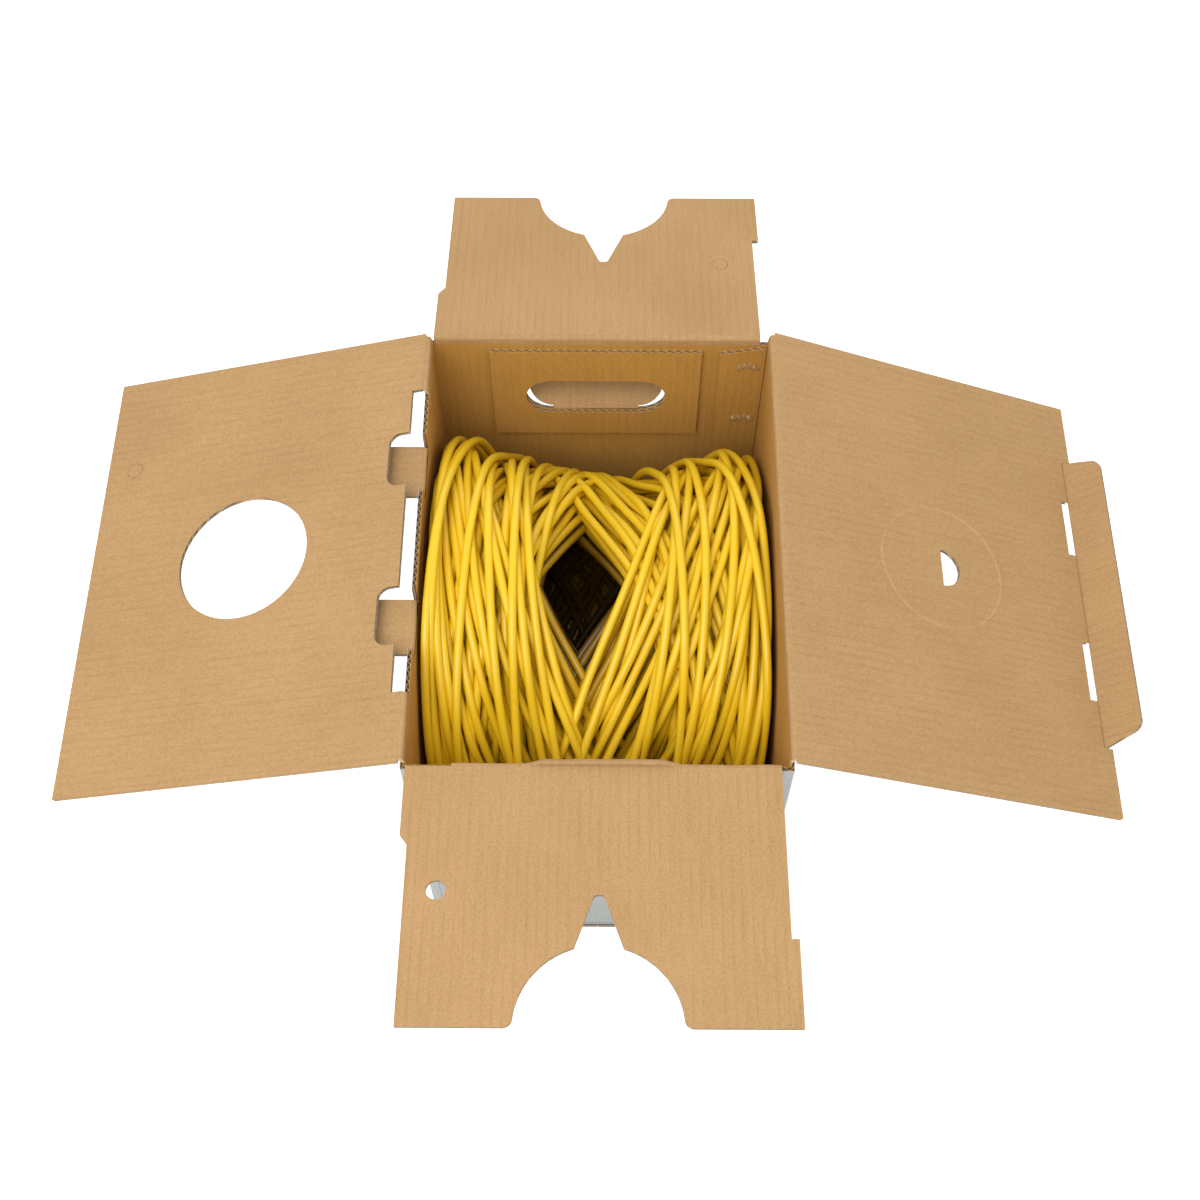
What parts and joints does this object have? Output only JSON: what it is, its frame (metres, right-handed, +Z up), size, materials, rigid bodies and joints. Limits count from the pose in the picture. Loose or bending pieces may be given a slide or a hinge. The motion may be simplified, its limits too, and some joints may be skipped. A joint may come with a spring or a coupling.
{
  "type": "cable pull box",
  "caption": "Open corrugated-board pull box with folded-out flaps, lock tabs, a tuck tongue and a payout hole, holding a figure-8 wound coil of yellow network cable.",
  "frame": {"origin": "centre of the box's base, on the surface it stands on", "axes": "+Z up, +Y from the front wall to the back wall, +X to the right, along the coil's axis"},
  "size_m": [0.7741, 0.7079, 0.3504],
  "materials": {
    "board": "plain kraft inside, pale grey print outside",
    "cable_jacket": "satin yellow PVC",
    "tape": "clear buff packing tape"
  },
  "bodies": {
    "case": {"front_wall": "board", "back_wall": "board", "left_wall": "board", "right_wall": "board", "joint_strip": "board", "handle_plate_front": "board", "handle_plate_back": "board", "bottom_inner_flap_front": "board", "bottom_inner_flap_back": "board", "bottom_outer_flap_left": "board", "bottom_outer_flap_right": "board", "bottom_tape": "tape", "cable_coil": "cable_jacket"},
    "front_flap": {"front_flap": "board"},
    "back_flap": {"back_flap": "board", "back_flap_knockout": "board"},
    "left_flap": {"left_flap": "board", "left_flap_knockout": "board"},
    "right_flap": {"right_flap": "board", "payout_knockout_disc": "board"},
    "tongue": {"right_flap_tongue": "board"},
    "lock_tab_rear": {"lock_tab_rear": "board"},
    "lock_tab_front": {"lock_tab_front": "board"},
    "hand_hole_flap_back": {"hand_hole_flap_back": "board"},
    "hand_hole_flap_front": {"hand_hole_flap_front": "board"}
  },
  "joints": [
    {"name": "front_flap_hinge", "type": "hinge", "parent": "case", "child": "front_flap", "pos_m": [0, -0.1785, 0.3364], "axis": [1, 0, 0], "range_deg": [-176.5, 58.5]},
    {"name": "back_flap_hinge", "type": "hinge", "parent": "case", "child": "back_flap", "pos_m": [0, 0.1785, 0.3364], "axis": [-1, 0, 0], "range_deg": [-192.4, 42.6]},
    {"name": "left_flap_hinge", "type": "hinge", "parent": "case", "child": "left_flap", "pos_m": [-0.1315, 0, 0.3398], "axis": [0, -1, 0], "range_deg": [-195.8, 4]},
    {"name": "right_flap_hinge", "type": "hinge", "parent": "case", "child": "right_flap", "pos_m": [0.1315, 0, 0.3432], "axis": [0, 1, 0], "range_deg": [-196.2, 64.8]},
    {"name": "tongue_hinge", "type": "hinge", "parent": "right_flap", "child": "tongue", "pos_m": [0.36899, 0, 0.24628], "axis": [0, 1, 0], "range_deg": [-27.5, 62.2]},
    {"name": "lock_tab_rear_hinge", "type": "hinge", "parent": "case", "child": "lock_tab_rear", "pos_m": [-0.1315, 0, 0.3191], "axis": [0, -1, 0], "range_deg": [-6, 85]},
    {"name": "lock_tab_front_hinge", "type": "hinge", "parent": "case", "child": "lock_tab_front", "pos_m": [-0.1315, 0, 0.3191], "axis": [0, -1, 0], "range_deg": [-6, 85]},
    {"name": "hand_hole_flap_back_hinge", "type": "hinge", "parent": "case", "child": "hand_hole_flap_back", "pos_m": [0, 0.1785, 0.2481], "axis": [-1, 0, 0], "range_deg": [-60, 118]},
    {"name": "hand_hole_flap_front_hinge", "type": "hinge", "parent": "case", "child": "hand_hole_flap_front", "pos_m": [0, -0.1785, 0.2481], "axis": [1, 0, 0], "range_deg": [-60, 118]}
  ]
}
